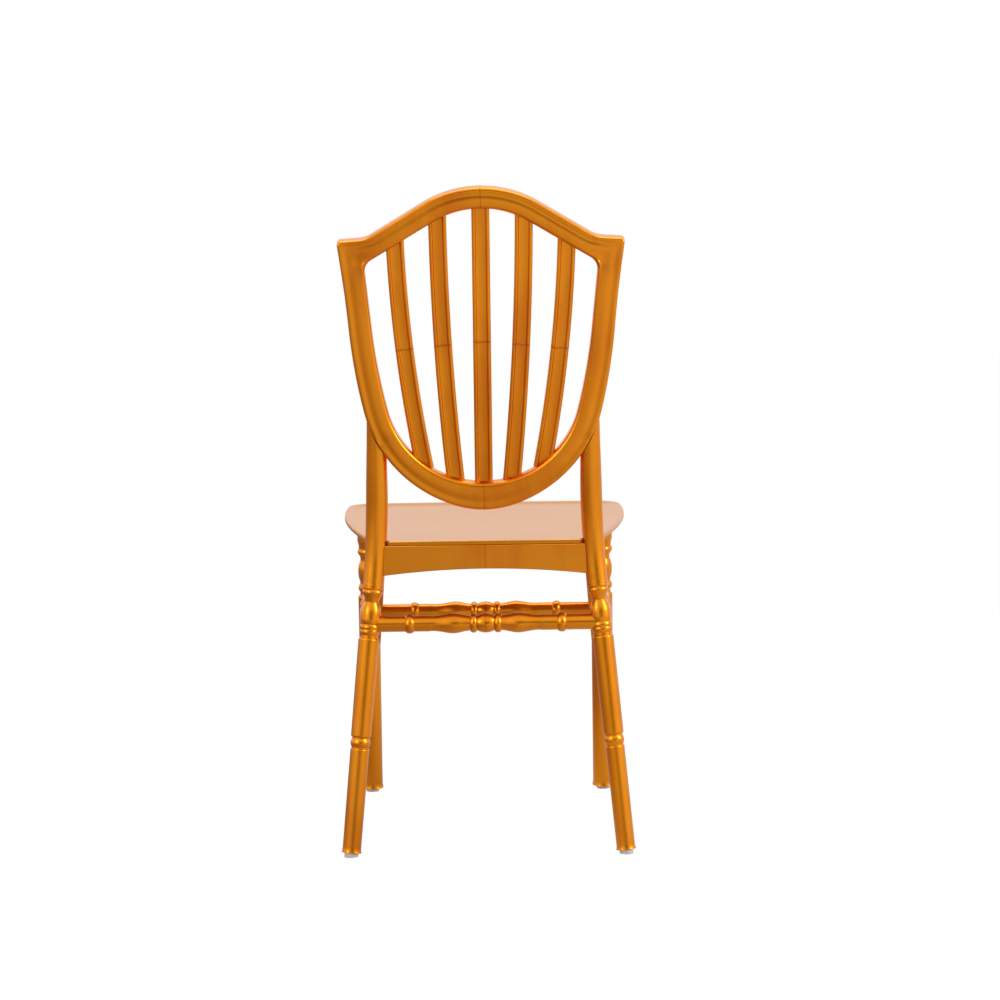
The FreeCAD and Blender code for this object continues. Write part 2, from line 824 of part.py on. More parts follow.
def seat_ribs():
    """List of the ribs below the seat plate, clear of the aprons and corner blocks."""
    low_z = plate_bottom_z - seat_rib_height
    front = knee_y - front_top_offset + apron_thickness / 2 + seat_rib_inset
    back = knee_y - apron_thickness / 2 - seat_rib_inset
    half = seat_rib_thickness / 2
    reach = knee_x - apron_thickness / 2 - seat_rib_inset - block_width
    ribs = []
    for row in range(seat_rib_rows):
        x = reach * (2 * row / (seat_rib_rows - 1) - 1)
        corner = Vector(x - half, front, low_z)
        ribs.append(Part.makeBox(2 * half, back - front, seat_rib_height, corner))
        y = front + (back - front) * (row + 0.5) / seat_rib_rows
        corner = Vector(-reach, y - half, low_z)
        ribs.append(Part.makeBox(2 * reach, 2 * half, seat_rib_height, corner))
    return ribs


# Corner blocks and screws

def screw(tip, direction, length):
    """Pan head screw that points along a direction, its head at the far end."""
    shank = Part.makeCylinder(screw_radius, length, tip - direction * length, direction)
    head_start = tip - direction * (length + screw_head_height)
    head = Part.makeCylinder(screw_head_radius, screw_head_height, head_start, direction)
    return shank.fuse(head)


def screw_hole(tip, direction, length):
    """Clearance hole for a screw, wide enough for its head all the way out."""
    hole = Part.makeCylinder(screw_radius + fit_gap, length + socket_end_gap,
                             tip - direction * length, direction)
    head_start = tip - direction * (length + cut_reach)
    bore = Part.makeCylinder(screw_head_radius + screw_head_gap, cut_reach, head_start, direction)
    return hole.fuse(bore)


def side_inner_x(y):
    """X of the inner face of the left side apron at a place along the chair."""
    start = rear_axis(plate_bottom_z)
    end = front_axis(plate_bottom_z)
    slope = (end.x - start.x) / (end.y - start.y)
    middle = start.x + (y - start.y) * slope
    return middle - apron_thickness / 2 / math.cos(math.atan(slope))


def corner_block(x, y, way):
    """Left block between two aprons, its screws, their holes and the place of the seat's screw.

    The block meets the front or rear apron at y, from x inwards, and the side apron; way is
    the direction of Y that leads away from the front or rear apron.
    """
    low_z = plate_bottom_z - seat_boss_height - block_height
    near_y = y + way * block_inset
    far_y = near_y + way * block_width
    points = [
        Vector(x, y, low_z),
        Vector(x - block_width, y, low_z),
        Vector(side_inner_x(far_y), far_y, low_z),
        Vector(side_inner_x(near_y), near_y, low_z)]
    block = Part.Face(Part.makePolygon(points + [points[0]])).extrude(up * block_height)
    middle_z = low_z + block_height / 2
    side_y = near_y + way * block_width / 2
    end_tip = Vector(x - block_width / 2, y - way * screw_bite, middle_z)
    side_tip = Vector(side_inner_x(side_y) + screw_bite, side_y, middle_z)
    length = screw_bite + screw_grip
    screws = []
    holes = []
    for tip, direction in ((end_tip, Vector(0, -way, 0)), (side_tip, Vector(1, 0, 0))):
        screws.append(screw(tip, direction, length))
        holes.append(screw_hole(tip, direction, length))
    middle = (points[0] + points[1] + points[2] + points[3]) * 0.25
    return block, screws, holes, middle


def save(name, shape):
    """Check one sub-part and write it."""
    if not shape.isValid():
        raise ValueError(name + " is not a valid shape")
    if shape.Volume <= 0:
        raise ValueError(name + " has no volume")
    shape.exportStep("parts/" + name + ".step")
    print(name, len(shape.Solids), "solids", round(shape.Volume), "mm3")


def main():
    """Build every sub-part, cut the joints between them and write the files."""
    outer = outer_outline()
    inner = inner_outline()
    opening = inner.makeOffset2D(-fit_gap)

    # Legs before their sockets are cut, and grown copies that trim what meets them
    rear_leg = rear_leg_body()
    rear_leg_tool = rear_leg_body(fit_gap)
    front_leg = front_leg_body()
    front_leg_tool = front_leg_body(fit_gap)
    leg_tools = []
    for tool in (rear_leg_tool, front_leg_tool):
        leg_tools.append(tool)
        leg_tools.append(mirrored(tool))

    # Shield frame, sockets for the spindles and for the legs
    frame = leaned(rounded_ring(outer, inner))
    shield_prism = leaned(slab(outer.makeOffset2D(fit_gap), -frame_depth, frame_depth))
    socket_start = on_line(knee, rear_top, rear_top_z - peg_in_leg)
    peg_end = on_line(knee, rear_top, rear_top_z + peg_in_frame)
    peg = rod(socket_start, peg_end, round_tenon_radius)
    peg_tool = rod(socket_start, peg_end + upper_direction * socket_end_gap,
                   round_tenon_radius + fit_gap)
    rear_leg = rear_leg.cut(shield_prism).fuse(peg)
    frame = frame.cut([peg_tool, mirrored(peg_tool)])

    spindle_shares = [1.0, 0.5, 0, -0.5, -1.0]
    for number, share in enumerate(spindle_shares, 1):
        bar = spindle_bar(share, opening)
        tenon = spindle_tenon(share, inner, 0.0, 0.0)
        spindle = bar.fuse(tenon).removeSplitter()
        save("spindle_" + str(number), leaned(spindle))
        frame = frame.cut(leaned(spindle_tenon(share, inner, fit_gap, socket_end_gap)))
    save("back_frame", frame)

    # Aprons and stretchers, each with the tool that cuts its mortises
    rear_low = rear_apron_low_z
    front_low = front_apron_low_z
    rear_at = rear_axis((rear_low + plate_bottom_z) / 2)
    front_at = front_axis((front_low + plate_bottom_z) / 2)
    rear_bar_at = rear_axis(rear_stretcher_z)
    front_bar_at = front_axis(front_stretcher_z)
    side_rear_at = rear_axis(side_stretcher_z)
    side_front_at = front_axis(side_stretcher_z)

    def across(point):
        return Vector(-point.x, point.y, point.z)

    aprons = {
        "rear_apron": (across(rear_at), rear_at, rear_low),
        "front_apron": (across(front_at), front_at, front_low),
        "side_apron_left": (rear_at, front_at, front_low)}
    stretchers = {
        "rear_stretcher": (across(rear_bar_at), rear_bar_at),
        "front_stretcher": (across(front_bar_at), front_bar_at),
        "side_stretcher_left": (side_rear_at, side_front_at)}
    bars = {}
    mortises = []
    for name, (start, end, low_z) in aprons.items():
        bar = apron_bar(start, end, low_z).cut(leg_tools)
        bars[name] = bar.fuse(flat_tenon(start, end, low_z, 0.0, 0.0)).removeSplitter()
        mortises.append(flat_tenon(start, end, low_z, fit_gap, socket_end_gap))
    for name, (start, end) in stretchers.items():
        bar = stretcher_bar(start, end).cut(leg_tools)
        bars[name] = bar.fuse(round_tenon(start, end, 0.0, 0.0)).removeSplitter()
        mortises.append(round_tenon(start, end, fit_gap, socket_end_gap))

    rear_leg = rear_leg.cut(mortises + [glide_socket(rear_foot, lower_direction)])
    front_leg = front_leg.cut(mortises + [glide_socket(front_foot, front_direction)])

    # Corner blocks between the aprons, with screws into the aprons and the seat
    rear_face_y = rear_at.y - apron_thickness / 2
    front_face_y = front_at.y + apron_thickness / 2
    corners = {
        "rear": (side_inner_x(rear_face_y) - block_inset, rear_face_y, -1),
        "front": (web_top_x - block_web_gap, front_face_y, 1)}
    screws = []
    holes = []
    seat_screws = []
    seat_holes = []
    bosses = []
    blocks = {}
    for end_name, (x, y, way) in corners.items():
        block, end_screws, end_holes, middle = corner_block(x, y, way)
        screws += end_screws
        holes += end_holes
        boss_low = middle + up * block_height
        tip = boss_low + up * seat_screw_bite
        up_length = seat_screw_bite + block_height
        seat_screws.append(screw(tip, up, up_length))
        seat_hole = screw_hole(tip, up, up_length)
        seat_holes.append(seat_hole)
        bosses.append(Part.makeCylinder(seat_boss_radius, seat_boss_height, boss_low))
        blocks["corner_block_" + end_name] = block.cut(end_holes + [seat_hole])
    for name in ("rear_apron", "front_apron"):
        bars[name] = bars[name].cut(holes + [mirrored(hole) for hole in holes])
    bars["side_apron_left"] = bars["side_apron_left"].cut(holes)

    # Write both sides
    save("rear_leg_left", rear_leg)
    save("rear_leg_right", mirrored(rear_leg))
    save("front_leg_left", front_leg)
    save("front_leg_right", mirrored(front_leg))
    for name in ("rear_apron", "front_apron", "rear_stretcher", "front_stretcher"):
        save(name, bars[name])
    for name in ("side_apron", "side_stretcher"):
        save(name + "_left", bars[name + "_left"])
        save(name + "_right", mirrored(bars[name + "_left"]))
    for name, block in blocks.items():
        save(name + "_left", block)
        save(name + "_right", mirrored(block))
    for name, foot, direction in (("rear", rear_foot, lower_direction),
                                  ("front", front_foot, front_direction)):
        pad = glide(foot, direction)
        save(name + "_glide_left", pad)
        save(name + "_glide_right", mirrored(pad))
    all_screws = screws + [mirrored(item) for item in screws]
    save("apron_screws", Part.makeCompound(all_screws))
    all_seat_screws = seat_screws + [mirrored(item) for item in seat_screws]
    save("seat_screws", Part.makeCompound(all_seat_screws))

    column_tool = rear_column(seat_notch_gap)
    bosses += [mirrored(boss) for boss in bosses]
    seat = seat_body([column_tool, mirrored(column_tool)], bosses)
    seat = seat.cut(seat_holes + [mirrored(hole) for hole in seat_holes])
    save("seat_panel", seat)


main()
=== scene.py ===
"""Studio scene of a chiavari dining chair, moulded in gold resin, seen from behind.

The chair stands on the floor at Z = 0 and its front faces -Y. Sizes are in metres.
"""

import logging
import math
from dataclasses import dataclass, field
from enum import Enum
from typing import Any, Dict, List, Sequence, Tuple, Union

import bmesh
import bpy
from mathutils import Matrix, Vector


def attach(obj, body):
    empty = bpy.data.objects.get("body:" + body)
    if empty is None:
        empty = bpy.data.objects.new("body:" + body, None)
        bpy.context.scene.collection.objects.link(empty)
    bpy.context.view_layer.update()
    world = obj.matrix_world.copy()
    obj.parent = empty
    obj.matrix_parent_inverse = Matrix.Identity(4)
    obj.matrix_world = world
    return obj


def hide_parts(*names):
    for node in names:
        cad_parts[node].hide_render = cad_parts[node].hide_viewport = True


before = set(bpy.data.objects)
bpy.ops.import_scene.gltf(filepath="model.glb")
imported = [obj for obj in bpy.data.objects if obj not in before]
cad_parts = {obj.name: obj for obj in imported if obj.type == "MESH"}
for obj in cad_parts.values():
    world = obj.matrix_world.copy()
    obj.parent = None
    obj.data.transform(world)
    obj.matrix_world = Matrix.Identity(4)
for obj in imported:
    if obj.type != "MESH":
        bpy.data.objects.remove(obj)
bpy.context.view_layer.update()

log = logging.getLogger("chair")

Colour = Tuple[float, float, float]
Noise = Tuple[float, float, float, Tuple[float, float, float]]
Number = Union[float, "Value"]
Point = Tuple[float, float, float]
Section = List[Tuple[float, float]]

CHAIR = "root"
QUARTER_TURN = math.pi / 2
WHITE: Colour = (1.0, 1.0, 1.0)


# Shader graphs


class Value:
    """Number that changes over a surface; its operators add Math nodes."""

    def __init__(self, graph: "Graph", socket: bpy.types.NodeSocket) -> None:
        """Wrap a socket.

        Args:
            graph: The graph that the socket belongs to.
            socket: The output socket to wrap.
        """
        self.graph = graph
        self.socket = socket

    def _math(self, operation: str, first: Number, second: Number = 0.0) -> "Value":
        """Add one Math node.

        Args:
            operation: The node's operation.
            first: Its first value.
            second: Its second value.

        Returns:
            The node's result.
        """
        settings = {"operation": operation}
        return self.graph.value("ShaderNodeMath", settings, {0: first, 1: second})

    def __add__(self, other: Number) -> "Value":
        """Sum with another value."""
        return self._math("ADD", self, other)

    __radd__ = __add__

    def __sub__(self, other: Number) -> "Value":
        """Difference from another value."""
        return self._math("SUBTRACT", self, other)

    def __rsub__(self, other: Number) -> "Value":
        """Difference of another value from this one."""
        return self._math("SUBTRACT", other, self)

    def __mul__(self, other: Number) -> "Value":
        """Product with another value."""
        return self._math("MULTIPLY", self, other)

    __rmul__ = __mul__

    def __truediv__(self, other: Number) -> "Value":
        """Quotient by another value."""
        return self._math("DIVIDE", self, other)

    def __abs__(self) -> "Value":
        """Size of the value without its sign."""
        return self._math("ABSOLUTE", self)

    def either(self, other: Number) -> "Value":
        """Greater of this value and another."""
        return self._math("MAXIMUM", self, other)

    def band(self, middle: float, half_width: float) -> "Value":
        """Soft line round a middle value.

        Args:
            middle: The value at which the line is strongest.
            half_width: How far from it the line reaches.

        Returns:
            One on the line, falling to zero at its edges.
        """
        distance = abs(self - middle) / half_width
        return self.graph.smooth_step(distance, 1.0, 0.0)


class Graph:
    """Node tree of a material or of the world."""

    def __init__(self, owner: Union[bpy.types.Material, bpy.types.World]) -> None:
        """Start with an empty tree.

        Args:
            owner: The material or world that has the tree.
        """
        self.owner = owner
        self.owner.use_nodes = True
        self.tree = self.owner.node_tree
        self.tree.nodes.clear()

    @classmethod
    def of_material(cls, name: str) -> "Graph":
        """Start the tree of a new material."""
        return cls(bpy.data.materials.new(name))

    def node(self, kind: str, settings: Dict[str, Any], inputs: Dict[Any, Any]) -> bpy.types.Node:
        """Add a node.

        Args:
            kind: The node's type.
            settings: Its own settings, which are set first.
            inputs: Values or links by the name or number of the socket.

        Returns:
            The new node.
        """
        made = self.tree.nodes.new(kind)
        for key, setting in settings.items():
            setattr(made, key, setting)
        for key, given in inputs.items():
            socket = made.inputs[key]
            if isinstance(given, Value):
                self.tree.links.new(given.socket, socket)
            elif isinstance(given, bpy.types.NodeSocket):
                self.tree.links.new(given, socket)
            else:
                socket.default_value = given
        return made

    def value(self, kind: str, settings: Dict[str, Any], inputs: Dict[Any, Any],
              output: Any = 0) -> Value:
        """Add a node and wrap one of its results.

        Args:
            kind: The node's type.
            settings: Its own settings.
            inputs: Values or links by socket.
            output: The name or number of the result.

        Returns:
            The wrapped result.
        """
        return Value(self, self.node(kind, settings, inputs).outputs[output])

    def ray(self, kind: str) -> Value:
        """One for rays of a kind, such as Camera, and otherwise zero."""
        return self.value("ShaderNodeLightPath", {}, {}, "Is %s Ray" % kind)

    def place(self, scale: Sequence[float] = (1.0, 1.0, 1.0)) -> bpy.types.NodeSocket:
        """Object coordinates, stretched.

        Args:
            scale: How much each axis is stretched.

        Returns:
            The vector's socket.
        """
        coordinates = self.node("ShaderNodeTexCoord", {}, {})
        mapping = self.node("ShaderNodeMapping", {}, {
            "Vector": coordinates.outputs["Object"], "Scale": tuple(scale)})
        return mapping.outputs["Vector"]

    def axes(self) -> Tuple[Value, Value, Value]:
        """The three object coordinates as values."""
        split = self.node("ShaderNodeSeparateXYZ", {}, {"Vector": self.place()})
        return tuple(Value(self, split.outputs[axis]) for axis in "XYZ")

    def noise(self, size: float, detail: float = 2.0, roughness: float = 0.5,
              stretch: Sequence[float] = (1.0, 1.0, 1.0)) -> Value:
        """Cloudy noise.

        Args:
            size: The size of its features, in metres.
            detail: How many finer layers it has.
            roughness: How strong these layers are.
            stretch: How much each axis is stretched before it.

        Returns:
            Noise round one half.
        """
        return self.value("ShaderNodeTexNoise", {}, {
            "Vector": self.place(stretch), "Scale": 1.0 / size,
            "Detail": detail, "Roughness": roughness}, "Fac")

    def smooth_step(self, given: Value, low: float, high: float) -> Value:
        """Soft step from zero to one.

        Args:
            given: The value that is stepped.
            low: Where the step starts.
            high: Where it ends.

        Returns:
            The stepped value.
        """
        return self.value("ShaderNodeMapRange", {"interpolation_type": "SMOOTHSTEP"}, {
            "Value": given, "From Min": low, "From Max": high})

    def mix(self, share: Number, first: Any, second: Any) -> bpy.types.NodeSocket:
        """Mix two colours.

        Args:
            share: How much of the second is in the mix.
            first: A colour or its socket.
            second: A colour or its socket.

        Returns:
            The mixed colour's socket.
        """
        def full(colour: Any) -> Any:
            """A colour with its alpha, or the socket as it is."""
            return (*colour, 1.0) if isinstance(colour, tuple) else colour

        first_colour, second_colour, result = 6, 7, 2
        made = self.node("ShaderNodeMix", {"data_type": "RGBA"}, {
            "Factor": share, first_colour: full(first), second_colour: full(second)})
        return made.outputs[result]

    def bump(self, height: Value, strength: float, distance: float) -> bpy.types.NodeSocket:
        """Bumped normal.

        Args:
            height: The height over the surface.
            strength: The bump's strength.
            distance: The height of one unit, in metres.

        Returns:
            The normal's socket.
        """
        made = self.node("ShaderNodeBump", {}, {
            "Height": height, "Strength": strength, "Distance": distance})
        return made.outputs["Normal"]

    def finish(self, inputs: Dict[str, Any]) -> bpy.types.Material:
        """Close the tree with a shader.

        Args:
            inputs: Values or links of the shader's sockets.

        Returns:
            The finished material.
        """
        shader = self.node("ShaderNodeBsdfPrincipled", {}, inputs)
        self.node("ShaderNodeOutputMaterial", {}, {"Surface": shader.outputs["BSDF"]})
        return self.owner


# Finishes


class Weld(Enum):
    """Where the melt met itself in the mould and left a faint line."""

    NONE = "none"
    CENTRE = "centre"
    SPINDLE = "spindle"


@dataclass(frozen=True)
class WeldLine:
    """Faint wavering line across or along a piece.

    Attributes:
        place: The coordinate at which it runs.
        half_width: Half of its width.
        waver_size: Length of its wavers.
        waver: How far it wavers.
        tint: How much of the weld's own colour it has.
        dip: How deep it lies, against the orange peel.
    """

    place: float
    half_width: float
    waver_size: float
    waver: float
    tint: float
    dip: float

    def mask(self, graph: Graph, run: Value) -> Value:
        """Find the line on a surface.

        Args:
            graph: The graph of the surface's material.
            run: The coordinate that the line is set on.

        Returns:
            One on the line, and zero beside it.
        """
        waver = graph.noise(self.waver_size) * self.waver
        return (run + waver).band(self.place, self.half_width)


@dataclass(frozen=True)
class GoldResin:
    """Glossy resin with a gold pearl pigment.

    Attributes:
        body: The usual colour.
        deep: The colour where the pigment lies thin.
        weld_colour: The colour of a weld line.
        metallic: How much of the surface the pearl flakes cover.
        roughness: The usual roughness of the sheen.
        roughness_range: How much the clouds change it.
        coat: How strongly the polished skin of the resin reflects.
        coat_roughness: The skin's own roughness.
        clouds: Size, detail, roughness and stretch of the pigment's clouds.
        streaks: The same of its flow streaks.
        streak_share: How much the streaks have in the pigment's pattern.
        thin: Pattern value under which the pigment lies thin.
        full: Pattern value over which it has its usual colour.
        peel: Size, detail and roughness of the orange peel.
        grain: The same of the finest grain.
        peel_height: Height of the orange peel, as a share of the bump.
        grain_height: Height of the grain, as a share of the bump.
        bump_strength: Strength of the bump.
        bump_depth: Depth of the bump.
        centre_weld: The line down the middle of a piece.
        spindle_weld: The line across the spindles.
        weld_droop: How much lower the spindles' line runs, per metre from the middle.
    """

    body: Colour = (0.78, 0.255, 0.004)
    deep: Colour = (0.66, 0.175, 0.002)
    weld_colour: Colour = (0.42, 0.085, 0.003)
    metallic: float = 0.96
    roughness: float = 0.30
    roughness_range: float = 0.05
    coat: float = 0.20
    coat_roughness: float = 0.06
    clouds: Noise = (0.075, 2.0, 0.5, (1.0, 1.0, 0.5))
    streaks: Noise = (0.010, 2.0, 0.6, (1.0, 1.0, 0.15))
    streak_share: float = 0.25
    thin: float = 0.25
    full: float = 0.60
    peel: Tuple[float, float, float] = (0.0055, 2.0, 0.5)
    grain: Tuple[float, float, float] = (0.0011, 1.0, 0.5)
    peel_height: float = 0.7
    grain_height: float = 0.08
    bump_strength: float = 0.25
    bump_depth: float = 0.0003
    centre_weld: WeldLine = WeldLine(0.0006, 0.0011, 0.02, 0.0012, 0.8, 0.8)
    spindle_weld: WeldLine = WeldLine(0.7112, 0.0022, 0.006, 0.006, 0.75, 1.2)
    weld_droop: float = 0.095

    def material(self, name: str, weld: Weld = Weld.NONE,
                 texture: float = 1.0) -> bpy.types.Material:
        """Make the material.

        Args:
            name: The material's name.
            weld: Which weld line it has.
            texture: How strong its orange peel and its clouds are.

        Returns:
            The material.
        """
        graph = Graph.of_material(name)
        x, _, z = graph.axes()
        cloud = graph.noise(*self.clouds)
        streak = graph.noise(*self.streaks)
        pattern = cloud * (1.0 - self.streak_share) + streak * self.streak_share
        share = 1.0 - (1.0 - graph.smooth_step(pattern, self.thin, self.full)) * texture
        colour = graph.mix(share, self.deep, self.body)
        height = graph.noise(*self.peel) * self.peel_height
        height = height + graph.noise(*self.grain) * self.grain_height
        if weld is not Weld.NONE:
            line, run = (self.centre_weld, x) if weld is Weld.CENTRE else (
                self.spindle_weld, z + abs(x) * self.weld_droop)
            mask = line.mask(graph, run)
            colour = graph.mix(mask * line.tint, colour, self.weld_colour)
            height = height - mask * line.dip
        roughness = self.roughness + (cloud - 0.5) * (self.roughness_range * texture)
        return graph.finish({
            "Base Color": colour,
            "Metallic": self.metallic,
            "Roughness": roughness,
            "Specular IOR Level": 0.5,
            "Coat Weight": self.coat,
            "Coat Roughness": self.coat_roughness,
            "Normal": graph.bump(height, self.bump_strength * texture, self.bump_depth)})


@dataclass(frozen=True)
class GlidePlastic:
    """Grey plastic of the glides, scuffed where it meets the floor.

    Attributes:
        body: The usual colour.
        worn: The colour of the scuffs.
        scuffs: Size, detail and roughness of the scuffs.
        scuffed: Noise values between which the scuffs set in.
        roughness: Roughness, and how much the scuffs add to it.
        grain: Size, strength and depth of the fine grain.
    """

    body: Colour = (0.62, 0.60, 0.58)
    worn: Colour = (0.36, 0.34, 0.32)
    scuffs: Tuple[float, float, float] = (0.003, 4.0, 0.7)
    scuffed: Tuple[float, float] = (0.5, 0.72)
    roughness: Tuple[float, float] = (0.42, 0.2)
    grain: Tuple[float, float, float] = (0.0006, 0.3, 0.0002)

    def material(self, name: str) -> bpy.types.Material:
        """Make the material.

        Args:
            name: The material's name.

        Returns:
            The material.
        """
        graph = Graph.of_material(name)
        scuffs = graph.noise(*self.scuffs)
        share = graph.smooth_step(scuffs, *self.scuffed)
        smooth, added = self.roughness
        size, strength, depth = self.grain
        return graph.finish({
            "Base Color": graph.mix(share, self.body, self.worn),
            "Roughness": smooth + scuffs * added,
            "Normal": graph.bump(graph.noise(size), strength, depth)})


@dataclass(frozen=True)
class ScrewSteel:
    """Brushed zinc plated steel of the screws.

    Attributes:
        bright: Colour of the plating.
        dull: Colour where it has dulled.
        patches: Size, detail and roughness of the dull patches.
        dulled: Noise values between which the patches set in.
        roughness: Roughness, and how much the patches add to it.
        brushing: Size, strength and depth of the brushed lines.
        brushed: How the lines are stretched.
    """

    bright: Colour = (0.62, 0.62, 0.60)
    dull: Colour = (0.36, 0.35, 0.33)
    patches: Tuple[float, float, float] = (0.004, 4.0, 0.6)
    dulled: Tuple[float, float] = (0.4, 0.65)
    roughness: Tuple[float, float] = (0.26, 0.2)
    brushing: Tuple[float, float, float] = (0.0005, 0.2, 0.0001)
    brushed: Point = (1.0, 1.0, 0.1)

    def material(self, name: str) -> bpy.types.Material:
        """Make the material.

        Args:
            name: The material's name.

        Returns:
            The material.
        """
        graph = Graph.of_material(name)
        patches = graph.noise(*self.patches)
        share = graph.smooth_step(patches, *self.dulled)
        smooth, added = self.roughness
        size, strength, depth = self.brushing
        lines = graph.noise(size, stretch=self.brushed)
        return graph.finish({
            "Base Color": graph.mix(share, self.bright, self.dull),
            "Metallic": 1.0,
            "Roughness": smooth + patches * added,
            "Normal": graph.bump(lines, strength, depth)})


# The studio


def placed(name: str, mesh: bmesh.types.BMesh, material: bpy.types.Material) -> bpy.types.Object:
    """Put a finished mesh into the scene.

    Args:
        name: The name of its object.
        mesh: The mesh, which is used up.
        material: Its finish.

    Returns:
        The object.
    """
    data = bpy.data.meshes.new(name)
    mesh.to_mesh(data)
    mesh.free()
    data.materials.append(material)
    made = bpy.data.objects.new(name, data)
    bpy.context.scene.collection.objects.link(made)
    return made


@dataclass
class Softbox:
    """One rectangular studio lamp.

    Attributes:
        name: The lamp's name.
        place: Where it hangs.
        target: The point that it faces.
        size: Its width and height.
        power: Its power in watts.
    """

    name: str
    place: Point
    target: Point
    size: Tuple[float, float]
    power: float

    def build(self) -> bpy.types.Object:
        """Hang the lamp.

        Returns:
            The lamp's object.
        """
        data = bpy.data.lights.new(self.name, "AREA")
        data.shape = "RECTANGLE"
        data.size, data.size_y = self.size
        data.energy = self.power
        lamp = bpy.data.objects.new(self.name, data)
        bpy.context.scene.collection.objects.link(lamp)
        lamp.location = self.place
        direction = Vector(self.target) - Vector(self.place)
        lamp.rotation_euler = direction.to_track_quat("-Z", "Y").to_euler()
        return lamp


@dataclass
class Studio:
    """Plain pale floor, white surroundings, soft lamps and the camera.

    Attributes:
        floor_size: Length of the floor's sides.
        paper: The two greys of the floor's paper.
        fibre: Size, detail and roughness of its fibres.
        floor_seen: How much of its plain white the camera sees, over the lit paper.
        floor_glow: Strength of that white.
        floor_near: How bright reflections show the floor close to the chair, a painted shade.
        floor_far: How bright they show it further off.
        floor_run: Distances behind the chair between which it goes from near to far.
        floor_tilt: How much brighter they show it on the key lamp's side, painted light and
            shade.
        floor_width: Distance to each side over which that tilt runs.
        floor_painted_shade: Colour of the painted shade that reflections show on the floor.
        light_level: Brightness of the surroundings as a source of light.
        focal: Focal length over the sensor's width.
        sensor: Width of the sensor in millimetres.
        eye: Place of the camera.
        pitch: How far the camera looks down, in degrees.
        roll: How far it is turned about its own axis, in degrees.
        shift: How far the frame is shifted, in frame widths.
        reach: How far the camera sees.
        lamps: The soft lamps.
        matt: Roughness of the paper and of the card.
        card_size: Width and height of the dark card.
        card_place: Its middle.
        card_painted_shade: Its colour, a painted shade that only reflections show.
    """

    floor_size: float = 14.0
    paper: Tuple[Colour, Colour] = ((0.80, 0.80, 0.80), (0.84, 0.84, 0.84))
    fibre: Tuple[float, float, float] = (0.004, 3.0, 0.6)
    floor_seen: float = 0.95
    floor_glow: float = 1.02
    floor_near: float = 0.54
    floor_far: float = 0.92
    floor_run: Tuple[float, float] = (0.9, 2.7)
    floor_tilt: float = 0.55
    floor_width: float = 0.6
    floor_painted_shade: Colour = (0.12, 0.0, 0.0)
    light_level: float = 0.55
    focal: float = 3.6444
    sensor: float = 36.0
    eye: Point = (0.0, 5.11506, 1.1481)
    pitch: float = 7.6035
    roll: float = 0.77
    shift: float = 0.01585
    reach: float = 100.0
    lamps: List[Softbox] = field(default_factory=lambda: [
        Softbox("key", (-2.76, 1.17, 1.9), (0.0, 0.0, 0.50), (1.0, 1.8), 55.0),
        Softbox("fill", (2.2, 2.05, 1.7), (0.0, 0.0, 0.50), (0.7, 1.6), 18.0),
        Softbox("top", (0.0, -0.6, 3.0), (0.0, 0.0, 0.40), (2.4, 1.6), 40.0),
    ])
    matt: float = 0.9
    card_size: Tuple[float, float] = (4.2, 3.4)
    card_place: Point = (-0.9, 6.2, 1.2)
    card_painted_shade: Colour = (0.22, 0.22, 0.22)

    def floor(self) -> bpy.types.Object:
        """Lay the floor, white to the camera apart from the shadow on it, with a painted shade
        that only reflections show.

        Returns:
            The floor's object.
        """
        mesh = bmesh.new()
        bmesh.ops.create_grid(mesh, x_segments=1, y_segments=1, size=self.floor_size / 2)
        graph = Graph.of_material("floor_paper")
        paper = graph.node("ShaderNodeBsdfPrincipled", {}, {
            "Base Color": graph.mix(graph.noise(*self.fibre), *self.paper),
            "Roughness": self.matt})
        # Painted reflection: reflections see a painted shade on the floor instead of the lit
        # paper. It is darker close to the chair and on the side away from the key lamp.
        across, along, _ = graph.axes()
        far = graph.smooth_step(along, *self.floor_run)
        side = graph.smooth_step(across, self.floor_width, -self.floor_width) - 0.5
        level = self.floor_near + far * (self.floor_far - self.floor_near)
        painted_reflection = graph.mix(level + side * self.floor_tilt, self.floor_painted_shade, WHITE)
        mirrored = graph.ray("Glossy") + graph.ray("Transmission")
        glow = graph.node("ShaderNodeEmission", {}, {
            "Color": graph.mix(mirrored, WHITE, painted_reflection), "Strength": self.floor_glow})
        mixed = graph.node("ShaderNodeMixShader", {}, {
            0: graph.ray("Camera") * self.floor_seen + mirrored,
            1: paper.outputs["BSDF"], 2: glow.outputs["Emission"]})
        graph.node("ShaderNodeOutputMaterial", {}, {"Surface": mixed.outputs["Shader"]})
        floor = placed("floor", mesh, graph.owner)
        return floor

    def card(self) -> bpy.types.Object:
        """Stand a dark card behind the camera as painted shade, which only reflections show and
        which darkens the chair's sheen.

        Returns:
            The card's object.
        """
        mesh = bmesh.new()
        bmesh.ops.create_grid(mesh, x_segments=1, y_segments=1, size=0.5)
        bmesh.ops.scale(mesh, vec=(*self.card_size, 1.0), verts=mesh.verts)
        upright = Matrix.Rotation(QUARTER_TURN, 3, "X")
        bmesh.ops.rotate(mesh, matrix=upright, verts=mesh.verts)
        bmesh.ops.translate(mesh, vec=self.card_place, verts=mesh.verts)
        # Painted shade: the card is seen only in reflections, as a dark patch in the chair's
        # sheen.
        card = placed("dark_card", mesh, Graph.of_material("dark_card").finish({
            "Base Color": (*self.card_painted_shade, 1.0), "Roughness": self.matt}))
        card.visible_camera = False
        card.visible_shadow = False
        card.visible_diffuse = False
        return card

